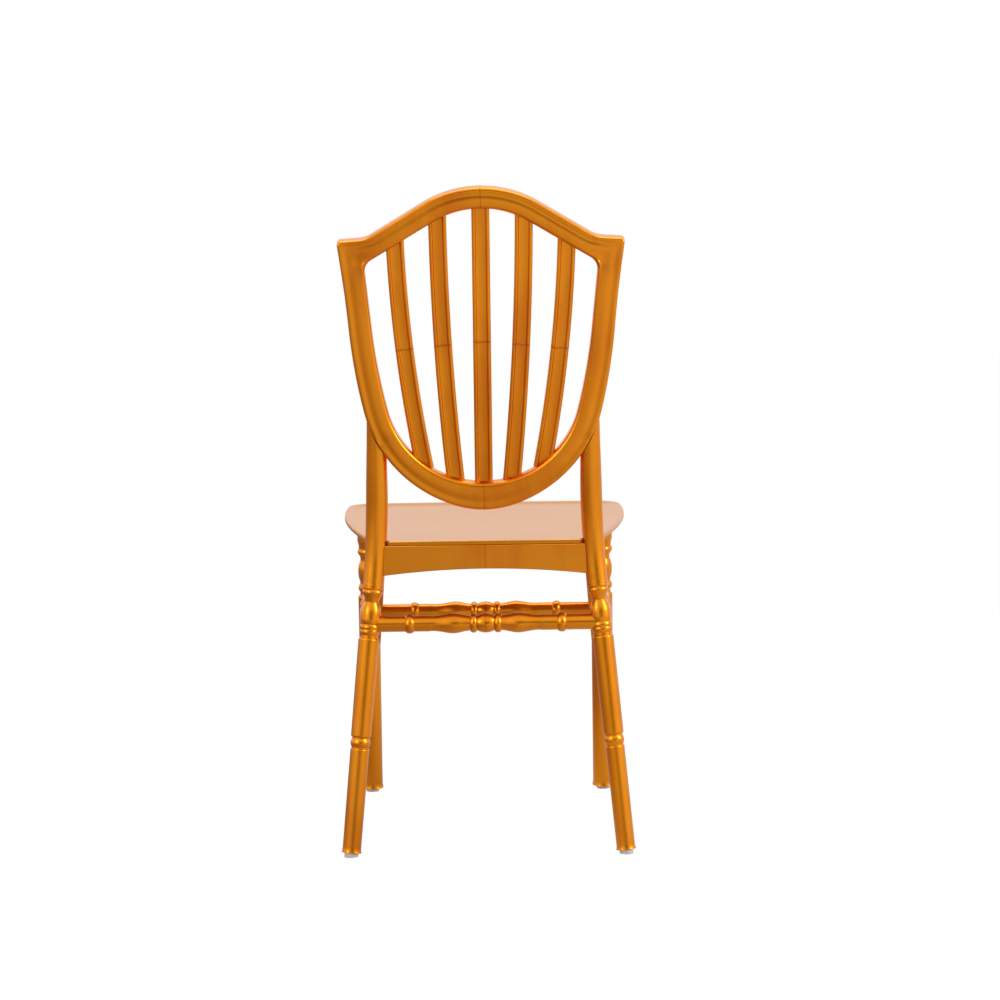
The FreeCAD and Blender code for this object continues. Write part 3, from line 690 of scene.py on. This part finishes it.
    def surroundings(self) -> None:
        """Make the world: white where it is seen, softer where it lights."""
        world = bpy.data.worlds.new("surroundings")
        bpy.context.scene.world = world
        graph = Graph(world)
        seen = graph.ray("Camera").either(graph.ray("Transmission")).either(graph.ray("Glossy"))
        background = graph.node("ShaderNodeBackground", {}, {
            "Color": (*WHITE, 1.0),
            "Strength": self.light_level + seen * (1.0 - self.light_level)})
        graph.node("ShaderNodeOutputWorld", {}, {"Surface": background.outputs["Background"]})

    def camera(self) -> bpy.types.Object:
        """Set up the camera at the photograph's viewing angle.

        Returns:
            The camera's object.
        """
        data = bpy.data.cameras.new("camera")
        data.sensor_width = self.sensor
        data.lens = self.focal * self.sensor
        data.shift_x = self.shift
        data.clip_end = self.reach
        pitch = math.radians(self.pitch)
        roll = math.radians(self.roll)
        right = Vector((-1.0, 0.0, 0.0))
        forward = Vector((0.0, -math.cos(pitch), -math.sin(pitch)))
        upward = Vector((0.0, -math.sin(pitch), math.cos(pitch)))
        rolled_right = right * math.cos(roll) - upward * math.sin(roll)
        rolled_up = right * math.sin(roll) + upward * math.cos(roll)
        matrix = Matrix((rolled_right, rolled_up, -forward)).transposed().to_4x4()
        matrix.translation = Vector(self.eye)
        camera = bpy.data.objects.new("camera", data)
        bpy.context.scene.collection.objects.link(camera)
        camera.matrix_world = matrix
        bpy.context.scene.camera = camera
        return camera

    def build(self) -> None:
        """Set up the whole studio."""
        self.floor()
        self.card()
        self.surroundings()
        for lamp in self.lamps:
            lamp.build()
        self.camera()
        bpy.context.scene.view_settings.view_transform = "Standard"
        log.info("studio: %d lamps", len(self.lamps))


# The chair


class Shape:
    """Mesh under construction, which becomes one piece of the chair.

    Attributes:
        SAME_PLACE: Distance under which two vertices are one.
        CRISP: Angle in degrees over which an edge stays crisp.
    """

    SAME_PLACE = 1e-6
    CRISP = 50.0

    def __init__(self) -> None:
        """Start with nothing."""
        self.mesh = bmesh.new()

    def loft(self, rings: List[List[Vector]], endless: bool = False) -> None:
        """Extrude a closed section from ring to ring.

        Args:
            rings: The section's points at each station.
            endless: Whether the last ring joins the first, and otherwise both ends are closed.
        """
        mesh = self.mesh
        order = mesh.verts.layers.int.new("order")
        first = [mesh.verts.new(point) for point in rings[0]]
        for number, vertex in enumerate(first):
            vertex[order] = number
        edges = [mesh.edges.new((first[i - 1], first[i])) for i in range(len(first))]
        start_edges = edges
        for ring in rings[1:]:
            made = bmesh.ops.extrude_edge_only(mesh, edges=edges)["geom"]
            edges = [item for item in made if isinstance(item, bmesh.types.BMEdge)]
            for item in made:
                if isinstance(item, bmesh.types.BMVert):
                    item.co = ring[item[order]]
        if endless:
            bmesh.ops.bridge_loops(mesh, edges=start_edges + edges)
        else:
            bmesh.ops.edgenet_fill(mesh, edges=start_edges)
            bmesh.ops.edgenet_fill(mesh, edges=edges)

    def piece(self, name: str, material: bpy.types.Material, node: str) -> bpy.types.Object:
        """Finish the mesh as a piece of the chair.

        Args:
            name: The piece's name.
            material: Its finish.
            node: The CAD piece that it stands for.

        Returns:
            The piece's object.
        """
        bmesh.ops.remove_doubles(self.mesh, verts=self.mesh.verts, dist=self.SAME_PLACE)
        bmesh.ops.recalc_face_normals(self.mesh, faces=self.mesh.faces)
        made = placed(name, self.mesh, material)
        made.data.shade_smooth()
        made.data.set_sharp_from_angle(angle=math.radians(self.CRISP))
        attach(made, CHAIR)
        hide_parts(node)
        log.info("%s: %d faces", name, len(made.data.polygons))
        return made


def heading_vector(angle: float) -> Vector:
    """Unit vector in the plane of the back, at an angle from +X."""
    return Vector((math.cos(angle), math.sin(angle)))


class Pen:
    """Pen that draws smooth runs of points in the plane of the back.

    Attributes:
        FINE: Turn between two points of an arc.
        CORNER_STEPS: How many steps a rounded corner has.
    """

    FINE = math.radians(1.0)
    CORNER_STEPS = 12

    def __init__(self, x: float, z: float) -> None:
        """Set the pen down, pointing to +X.

        Args:
            x: Where it starts, across the back.
            z: Where it starts, up the back.
        """
        self.points = [Vector((x, z))]
        self.heading = 0.0

    def forward(self, length: float) -> None:
        """Draw a straight line.

        Args:
            length: Its length.
        """
        self.points.append(self.points[-1] + heading_vector(self.heading) * length)

    def turn_to(self, radius: float, heading: float) -> None:
        """Draw an arc.

        Args:
            radius: Its radius.
            heading: The direction in which it ends, in degrees.
        """
        goal = math.radians(heading)
        turn = goal - self.heading
        side = math.copysign(1.0, turn)
        inward = heading_vector(self.heading + QUARTER_TURN) * side * radius
        centre = self.points[-1] + inward
        steps = max(2, int(abs(turn) / self.FINE))
        for step in range(1, steps + 1):
            angle = self.heading + turn * step / steps
            inward = heading_vector(angle + QUARTER_TURN) * side * radius
            self.points.append(centre - inward)
        self.heading = goal

    def corner_with(self, other: "Pen", radius: float) -> List[Vector]:
        """Round the corner in which this pen's line meets another's.

        Args:
            other: The other pen, which comes from the far side.
            radius: The corner's radius.

        Returns:
            The points of the corner's arc, from this pen to the other.
        """
        here, there = self.points[-1], other.points[-1]
        way, far_way = heading_vector(self.heading), heading_vector(other.heading)
        reach = (there - here).cross(far_way) / way.cross(far_way)
        corner = here + way * reach
        half = way.angle(far_way) / 2
        trim = radius / math.tan(half)
        start, end = corner - way * trim, corner - far_way * trim
        inward = ((start + end) / 2 - corner).normalized()
        centre = corner + inward * (radius / math.sin(half))
        sweep = (math.pi - 2 * half) / self.CORNER_STEPS
        return [centre + Matrix.Rotation(sweep * step, 2) @ (start - centre)
                for step in range(self.CORNER_STEPS + 1)]


def resampled(points: List[Vector], count: int) -> List[Vector]:
    """Points at even distances along a run.

    Args:
        points: The run.
        count: How many steps it is divided into.

    Returns:
        One point more than that.
    """
    lengths = [0.0]
    for before, after in zip(points, points[1:]):
        lengths.append(lengths[-1] + (after - before).length)
    found = []
    at = 0
    for step in range(count + 1):
        goal = lengths[-1] * step / count
        while at < len(points) - 2 and lengths[at + 1] < goal:
            at += 1
        span = lengths[at + 1] - lengths[at]
        share = (goal - lengths[at]) / span if span else 0.0
        found.append(points[at].lerp(points[at + 1], min(1.0, share)))
    return found


@dataclass(frozen=True)
class Bend:
    """One arc of an outline.

    Attributes:
        radius: Its radius.
        heading: The direction in which it ends, in degrees from +X.
    """

    radius: float
    heading: float


@dataclass
class Back:
    """Shield frame, drawn in the leaning plane of the back.

    Attributes:
        knee: Where the plane stands on the chair.
        lean: How far it leans, in degrees.
        bottom: Height of the hoop's lowest point, up the plane.
        outer_bends: The outside's arcs from there up to the stile's straight part.
        stile: Length of that straight part.
        flare: The outside's last arc, up to the horn.
        crown: Height of the crown, up the plane.
        crown_bend: The crown's arc, from its top down to the shoulder.
        shoulder: Length of the shoulder's straight part.
        horn_bend: The sweep from the shoulder out to the horn.
        tip_round: Radius of the horn's tip.
        inner_bottom: Height of the opening's lowest point.
        inner_bends: The opening's arcs from there up to its corner.
        corner_round: Radius of the opening's upper corners.
        rail: Width of the crown's rail.
        stations: Steps along hoop and stile, round the tip, along the shoulder and the crown.
        depth: Depth of the frame.
        outer_round: Radius of the outer edges.
        inner_round: Radius of the inner edges.
        hollow: Depth of the shallow hollow along the outer part of the face.
        fall: How far the face falls from its ridge to the inner edge.
        ridge: Where the ridge lies, as a share of the face's width.
        steps: Steps across the outer round, the face and the inner round.
        dimples: Soft dimples: place across and up, radius and depth.
    """

    knee: Point = (0.0, 0.1600617, 0.440)
    lean: float = 8.0
    bottom: float = 0.0369
    outer_bends: Tuple[Bend, ...] = (Bend(0.1275, 18.6), Bend(0.185, 76.9), Bend(0.798, 85.0))
    stile: float = 0.0194
    flare: Bend = Bend(1.315, 82.3)
    crown: float = 0.483488
    crown_bend: Bend = Bend(0.152, -31.2)
    shoulder: float = 0.080
    horn_bend: Bend = Bend(0.040, -3.4)
    tip_round: float = 0.005
    inner_bottom: float = 0.0741
    inner_bends: Tuple[Bend, ...] = (Bend(0.1326, 76.0), Bend(0.808, 84.4))
    corner_round: float = 0.018
    rail: float = 0.0287
    stations: Tuple[int, int, int, int] = (110, 14, 36, 30)
    depth: float = 0.024
    outer_round: float = 0.0035
    inner_round: float = 0.0060
    hollow: float = 0.0007
    fall: float = 0.0005
    ridge: float = 0.60
    steps: Tuple[int, int, int] = (5, 12, 8)
    dimples: Tuple[Tuple[float, float, float, float], ...] = (
        (0.166, 0.383, 0.013, 0.0014), (0.139, 0.134, 0.009, 0.0010))

    def leaned(self, across: float, depth: float, rise: float) -> Vector:
        """Point of the chair from the plane's own coordinates."""
        turn = Matrix.Rotation(math.radians(-self.lean), 3, "X")
        return Vector(self.knee) + turn @ Vector((across, depth, rise))

    def outlines(self) -> Tuple[List[Vector], List[Vector]]:
        """Matching points of the outside and the inside of the shield's left half.

        Returns:
            The outer and the inner points, from the bottom to the crown.
        """
        outer = Pen(0.0, self.bottom)
        for bend in self.outer_bends:
            outer.turn_to(bend.radius, bend.heading)
        outer.forward(self.stile)
        outer.turn_to(self.flare.radius, self.flare.heading)
        horn = Pen(0.0, self.crown)
        horn.turn_to(self.crown_bend.radius, self.crown_bend.heading)
        crown_end = len(horn.points)
        horn.forward(self.shoulder)
        horn.turn_to(self.horn_bend.radius, self.horn_bend.heading)
        inner = Pen(0.0, self.inner_bottom)
        for bend in self.inner_bends:
            inner.turn_to(bend.radius, bend.heading)
        top = Pen(0.0, self.crown - self.rail)
        top.turn_to(self.crown_bend.radius - self.rail, self.crown_bend.heading)
        tip = outer.corner_with(horn, self.tip_round)
        corner = inner.corner_with(top, self.corner_round)
        crown_out, shoulder_out = horn.points[:crown_end], horn.points[crown_end - 1:]
        runs = (
            (outer.points + tip[:1], inner.points + corner[:1]),
            (tip, corner),
            (tip[-1:] + shoulder_out[::-1], [corner[-1], top.points[-1]]),
            (crown_out[::-1], top.points[::-1]))
        outside, inside = [], []
        for (out_run, in_run), count in zip(runs, self.stations):
            outside += resampled(out_run, count)[:-1]
            inside += resampled(in_run, count)[:-1]
        return outside + [crown_out[0]], inside + [top.points[0]]

    def face_drop(self, share: float) -> float:
        """How far the face lies below its plane.

        Args:
            share: The place on the face, from the outer round (0) to the inner one (1).

        Returns:
            The drop.
        """
        if share < self.ridge:
            return self.hollow * math.sin(math.pi * share / self.ridge) ** 2
        return self.fall * ((share - self.ridge) / (1 - self.ridge)) ** 2

    def dimple(self, place: Vector) -> float:
        """How deep the dimples are at a place on the face.

        Args:
            place: The place, across and up the plane.

        Returns:
            The depth.
        """
        drop = 0.0
        for across, rise, radius, depth in self.dimples:
            distance = math.hypot(abs(place.x) - across, place.y - rise) / radius
            drop += depth * math.exp(-distance * distance)
        return drop

    def section(self, outer: Vector, inner: Vector) -> List[Vector]:
        """Section of the frame between two matching points of its outlines.

        Args:
            outer: The point on the outside.
            inner: The point on the inside.

        Returns:
            The section's points, round the frame.
        """
        way = (inner - outer).normalized()
        half = self.depth / 2
        face_start = outer + way * self.outer_round
        face_end = inner - way * self.inner_round
        outer_steps, face_steps, inner_steps = self.steps
        rear = []
        for step in range(outer_steps):
            angle = QUARTER_TURN * step / outer_steps
            place = outer + way * self.outer_round * (1 - math.cos(angle))
            rear.append((place, half - self.outer_round * (1 - math.sin(angle))))
        for step in range(face_steps + 1):
            share = step / face_steps
            place = face_start.lerp(face_end, share)
            rear.append((place, half - self.face_drop(share) - self.dimple(place)))
        for step in range(1, inner_steps + 1):
            share = step / inner_steps
            angle = QUARTER_TURN * share
            place = face_end + way * self.inner_round * math.sin(angle)
            drop = self.fall * (1 - share) + self.inner_round * (1 - math.cos(angle))
            rear.append((place, half - drop))
        front = [(place, -depth) for place, depth in reversed(rear)]
        return [self.leaned(place.x, depth, place.y) for place, depth in rear + front]

    def frame(self, material: bpy.types.Material) -> None:
        """Build the shield frame.

        Args:
            material: Its finish.
        """
        outside, inside = self.outlines()
        left = list(zip(outside, inside))
        right = [(Vector((-out.x, out.y)), Vector((-opening.x, opening.y)))
                 for out, opening in left[-2:0:-1]]
        shape = Shape()
        shape.loft([self.section(out, opening) for out, opening in left + right], endless=True)
        shape.piece("shield_frame", material, "back_frame")


@dataclass
class Spindles:
    """The five spindles, each an arc with a channel in its back.

    Attributes:
        back: The back that carries them.
        half_width: Half of a spindle's width.
        front: Depth of its front face.
        rear: Depth of its rims.
        channel: Half of the channel's width.
        floor: Depth of the channel's floor.
        rim_round: Radius of a rim's outer edge.
        lip_round: Radius of a rim's inner edge.
        floor_round: Radius at the foot of the channel's walls.
        front_round: Radius of the front edges.
        round_steps: Steps round each of these.
        rises: Heights through which each arc passes.
        reaches: How far out the outer spindle is at these heights.
        bury: How far its ends run into the frame.
        shares: How far out each spindle is, as a share of the outer left one.
        stations: Steps along a spindle.
    """

    back: Back
    half_width: float = 0.0122
    front: float = -0.010
    rear: float = 0.005
    channel: float = 0.0072
    floor: float = 0.0016
    rim_round: float = 0.0028
    lip_round: float = 0.0016
    floor_round: float = 0.0016
    front_round: float = 0.0024
    round_steps: int = 5
    rises: Tuple[float, float, float] = (0.095, 0.244, 0.406)
    reaches: Tuple[float, float, float] = (0.0805, 0.1033, 0.1154)
    bury: float = 0.008
    shares: Tuple[float, ...] = (1.0, 0.5, 0.0, -0.5, -1.0)
    stations: int = 60

    def rounded(self, corner: Tuple[float, float], radius: float, start: int) -> Section:
        """Quarter round of the section's right half.

        Args:
            corner: The round's centre: its place across and its depth.
            radius: Its radius, below zero where it is drawn clockwise.
            start: Where it starts, in degrees.

        Returns:
            The round's points.
        """
        across, depth = corner
        found = []
        for step in range(self.round_steps + 1):
            turn = QUARTER_TURN * step / self.round_steps
            angle = math.radians(start) + math.copysign(turn, radius)
            reach = abs(radius)
            found.append((across + reach * math.cos(angle), depth + reach * math.sin(angle)))
        return found

    def section(self) -> Section:
        """Section of a spindle, with its channel.

        Returns:
            The section's points, round the spindle.
        """
        front, rim, lip, foot = (
            self.front_round, self.rim_round, self.lip_round, self.floor_round)
        right = self.rounded((self.half_width - front, self.front + front), front, -90)
        right += self.rounded((self.half_width - rim, self.rear - rim), rim, 0)
        right += self.rounded((self.channel + lip, self.rear - lip), lip, 90)
        right += self.rounded((self.channel - foot, self.floor + foot), -foot, 0)
        left = [(-across, depth) for across, depth in reversed(right)]
        return right + left

    def ends(self, share: float) -> Tuple[float, float]:
        """Heights at which a spindle ends, inside the frame.

        Args:
            share: How far out it is, as a share of the outer one.

        Returns:
            Its lowest and its highest place.
        """
        low_reach, high_reach = (abs(share * self.reaches[end]) for end in (0, -1))
        hoop = self.back.inner_bends[0].radius
        low = self.back.inner_bottom + hoop - math.sqrt(hoop ** 2 - low_reach ** 2)
        crown = self.back.crown_bend.radius - self.back.rail
        slope = math.radians(-self.back.crown_bend.heading)
        high = self.back.crown - self.back.rail - crown
        arc_end = crown * math.sin(slope)
        if high_reach < arc_end:
            high += math.sqrt(crown ** 2 - high_reach ** 2)
        else:
            high += crown * math.cos(slope) - (high_reach - arc_end) * math.tan(slope)
        return low - self.bury, high + self.bury

    def arc(self, share: float) -> Tuple[Vector, float]:
        """Circle through a spindle's three places.

        Args:
            share: How far out it is, as a share of the outer one.

        Returns:
            The circle's centre and its radius.
        """
        first, second, third = (Vector((share * reach, rise))
                                for reach, rise in zip(self.reaches, self.rises))
        chord, far_chord = second - first, third - first
        area = 2 * chord.cross(far_chord)
        offset = Vector((
            far_chord.y * chord.length_squared - chord.y * far_chord.length_squared,
            chord.x * far_chord.length_squared - far_chord.x * chord.length_squared)) / area
        return first + offset, offset.length

    def ring(self, share: float, rise: float) -> List[Vector]:
        """Section of a spindle at one height.

        Args:
            share: How far out it is, as a share of the outer one.
            rise: The height.

        Returns:
            The section's points in their places.
        """
        if share == 0:
            middle, outward = Vector((0.0, rise)), Vector((1.0, 0.0))
        else:
            centre, radius = self.arc(share)
            side = math.copysign(1.0, share)
            run = math.sqrt(radius ** 2 - (rise - centre.y) ** 2)
            middle = Vector((centre.x + side * run, rise))
            outward = (middle - centre) * (side / radius)
        places = ((middle + outward * across, depth) for across, depth in self.section())
        return [self.back.leaned(place.x, depth, place.y) for place, depth in places]

    def build(self, material: bpy.types.Material) -> None:
        """Build the five spindles.

        Args:
            material: Their finish.
        """
        for number, share in enumerate(self.shares, 1):
            low, high = self.ends(share)
            step = (high - low) / self.stations
            shape = Shape()
            shape.loft([self.ring(share, low + step * at) for at in range(self.stations + 1)])
            shape.piece("channelled_spindle_%d" % number, material, "spindle_%d" % number)


@dataclass
class Dressing:
    """CAD pieces that keep their own shape and get a finish.

    Attributes:
        nodes: The names of the pieces.
        material: The finish.
    """

    nodes: List[str]
    material: bpy.types.Material

    def build(self) -> None:
        """Put the finish on each piece."""
        for name in self.nodes:
            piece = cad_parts[name]
            if not piece.material_slots:
                piece.data.materials.append(None)
            for slot in piece.material_slots:
                slot.link = "OBJECT"
                slot.material = self.material
            log.info("%s: %s", name, self.material.name)


def main() -> None:
    """Build the studio and the chair."""
    logging.basicConfig(level=logging.INFO, format="%(name)s: %(message)s")
    Studio().build()
    gold = GoldResin()
    centre = gold.material("gold_resin_centre_weld", Weld.CENTRE)
    back = Back()
    back.frame(centre)
    Spindles(back).build(gold.material("gold_resin_spindle_weld", Weld.SPINDLE))
    # Painted shade: the seat gets a darker, less saturated copy of the gold resin, which dims its
    # grazing reflection.
    shaded_seat_gold = GoldResin(body=(0.62, 0.235, 0.010))
    welded = ["rear_stretcher", "front_stretcher", "rear_apron"]
    glides = [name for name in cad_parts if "glide" in name]
    screws = [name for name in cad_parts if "screws" in name]
    replaced = [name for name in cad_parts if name.startswith("spindle")] + ["back_frame"]
    special = welded + glides + screws + replaced + ["seat_panel"]
    rest = [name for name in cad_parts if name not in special]
    for dressing in (
            Dressing(welded, centre),
            Dressing(["seat_panel"], shaded_seat_gold.material("seat_resin", texture=0.3)),
            Dressing(glides, GlidePlastic().material("glide_plastic")),
            Dressing(screws, ScrewSteel().material("screw_steel")),
            Dressing(rest, gold.material("gold_resin"))):
        dressing.build()


if __name__ == "__main__":
    main()
